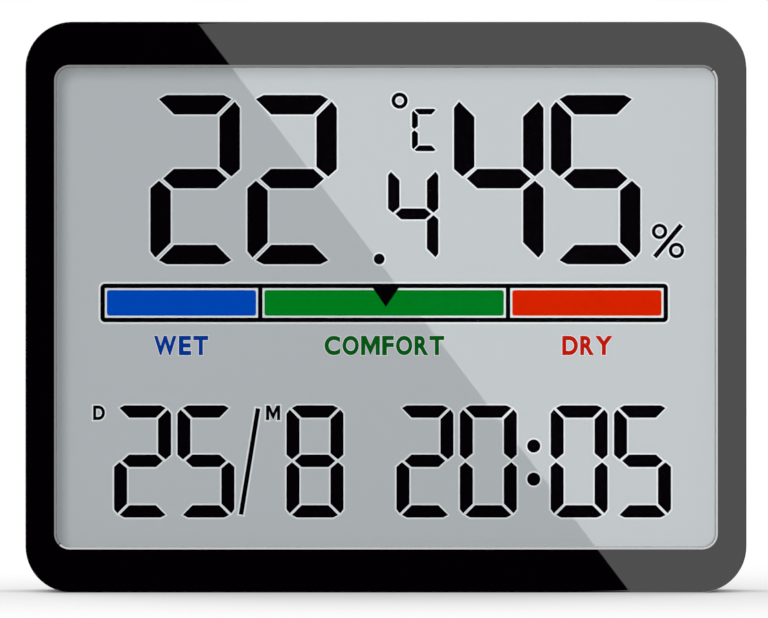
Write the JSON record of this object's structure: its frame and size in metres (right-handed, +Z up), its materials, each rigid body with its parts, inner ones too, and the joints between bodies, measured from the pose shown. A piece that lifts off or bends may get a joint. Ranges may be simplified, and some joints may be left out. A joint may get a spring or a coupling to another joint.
{
  "type": "thermometer hygrometer clock",
  "caption": "Rectangular black desk and wall clock with a large segment display for temperature, humidity, comfort, date and time, a folding stand, keyhole and magnets on its back.",
  "frame": {"origin": "middle of the bottom of the bounding box, under the case as it stands upright", "axes": "+X to the right as the display is read, +Y towards the back, +Z up"},
  "size_m": [0.095, 0.015, 0.0752],
  "materials": {
    "black_gloss_abs": "polished",
    "black_matte_abs": "fine spark-eroded grain",
    "grey_button_abs": "satin",
    "white_abs": "satin",
    "clear_acrylic": "polished clear",
    "black_tape": "matte",
    "black_foam": "foam",
    "display_ground": "satin film",
    "display_glass": "clear",
    "silver_film": "satin",
    "segment_black": "matte",
    "print_blue": "printed",
    "print_green": "printed",
    "print_red": "printed",
    "elastomer": "satin",
    "board_green": "solder mask",
    "black_resin": "cast",
    "ceramic_tan": "fired",
    "ceramic_white": "fired",
    "steel": "bright",
    "nickel_plate": "plated",
    "spring_bronze": "rolled"
  },
  "bodies": {
    "case": {"front_bezel": "black_gloss_abs", "rear_shell": "black_matte_abs", "case_screws": "steel", "board_screws": "steel", "lens_tape": "black_tape", "display_lens": "clear_acrylic", "display_gasket": "black_foam", "front_polarizer": "display_ground", "front_glass": "display_glass", "rear_glass": "display_glass", "rear_reflector": "silver_film", "reading_segments": "segment_black", "clock_segments": "segment_black", "display_marks": "segment_black", "scale_frame": "segment_black", "comfort_pointer": "segment_black", "scale_wet_field": "print_blue", "scale_comfort_field": "print_green", "scale_dry_field": "print_red", "display_retainer": "white_abs", "zebra_strip": "elastomer", "circuit_board": "board_green", "chip_cover": "black_resin", "clock_crystal": "steel", "chip_capacitors": "ceramic_tan", "humidity_sensor": "ceramic_white", "thermistor": "black_resin", "switch_bodies": "black_matte_abs", "coin_cell": "steel", "negative_contact": "spring_bronze", "positive_contact": "spring_bronze", "magnets": "nickel_plate"},
    "stand": {"kickstand": "black_matte_abs"},
    "cover": {"battery_cover": "black_matte_abs"},
    "mode_key": {"mode_button": "grey_button_abs", "mode_plunger": "white_abs"},
    "up_key": {"up_button": "grey_button_abs", "up_plunger": "white_abs"},
    "down_key": {"down_button": "grey_button_abs", "down_plunger": "white_abs"},
    "unit_key": {"unit_button": "grey_button_abs", "unit_plunger": "white_abs"}
  },
  "joints": [
    {"name": "stand_hinge", "type": "hinge", "parent": "case", "child": "stand", "pos_m": [0, 0.00615, 0.04098], "axis": [1, 0, 0], "range_deg": [0, 40]},
    {"name": "cover_twist", "type": "hinge", "parent": "case", "child": "cover", "pos_m": [0.026, 0.0063, 0.054], "axis": [0, 1, 0], "range_deg": [0, 60]},
    {"name": "mode_press", "type": "slide", "parent": "case", "child": "mode_key", "axis": [0, -1, 0], "range_m": [0, 0.0004], "stiffness_N_per_m": 800},
    {"name": "up_press", "type": "slide", "parent": "case", "child": "up_key", "axis": [0, -1, 0], "range_m": [0, 0.0004], "stiffness_N_per_m": 800},
    {"name": "down_press", "type": "slide", "parent": "case", "child": "down_key", "axis": [0, -1, 0], "range_m": [0, 0.0004], "stiffness_N_per_m": 800},
    {"name": "unit_press", "type": "slide", "parent": "case", "child": "unit_key", "axis": [0, -1, 0], "range_m": [0, 0.0004], "stiffness_N_per_m": 800}
  ]
}
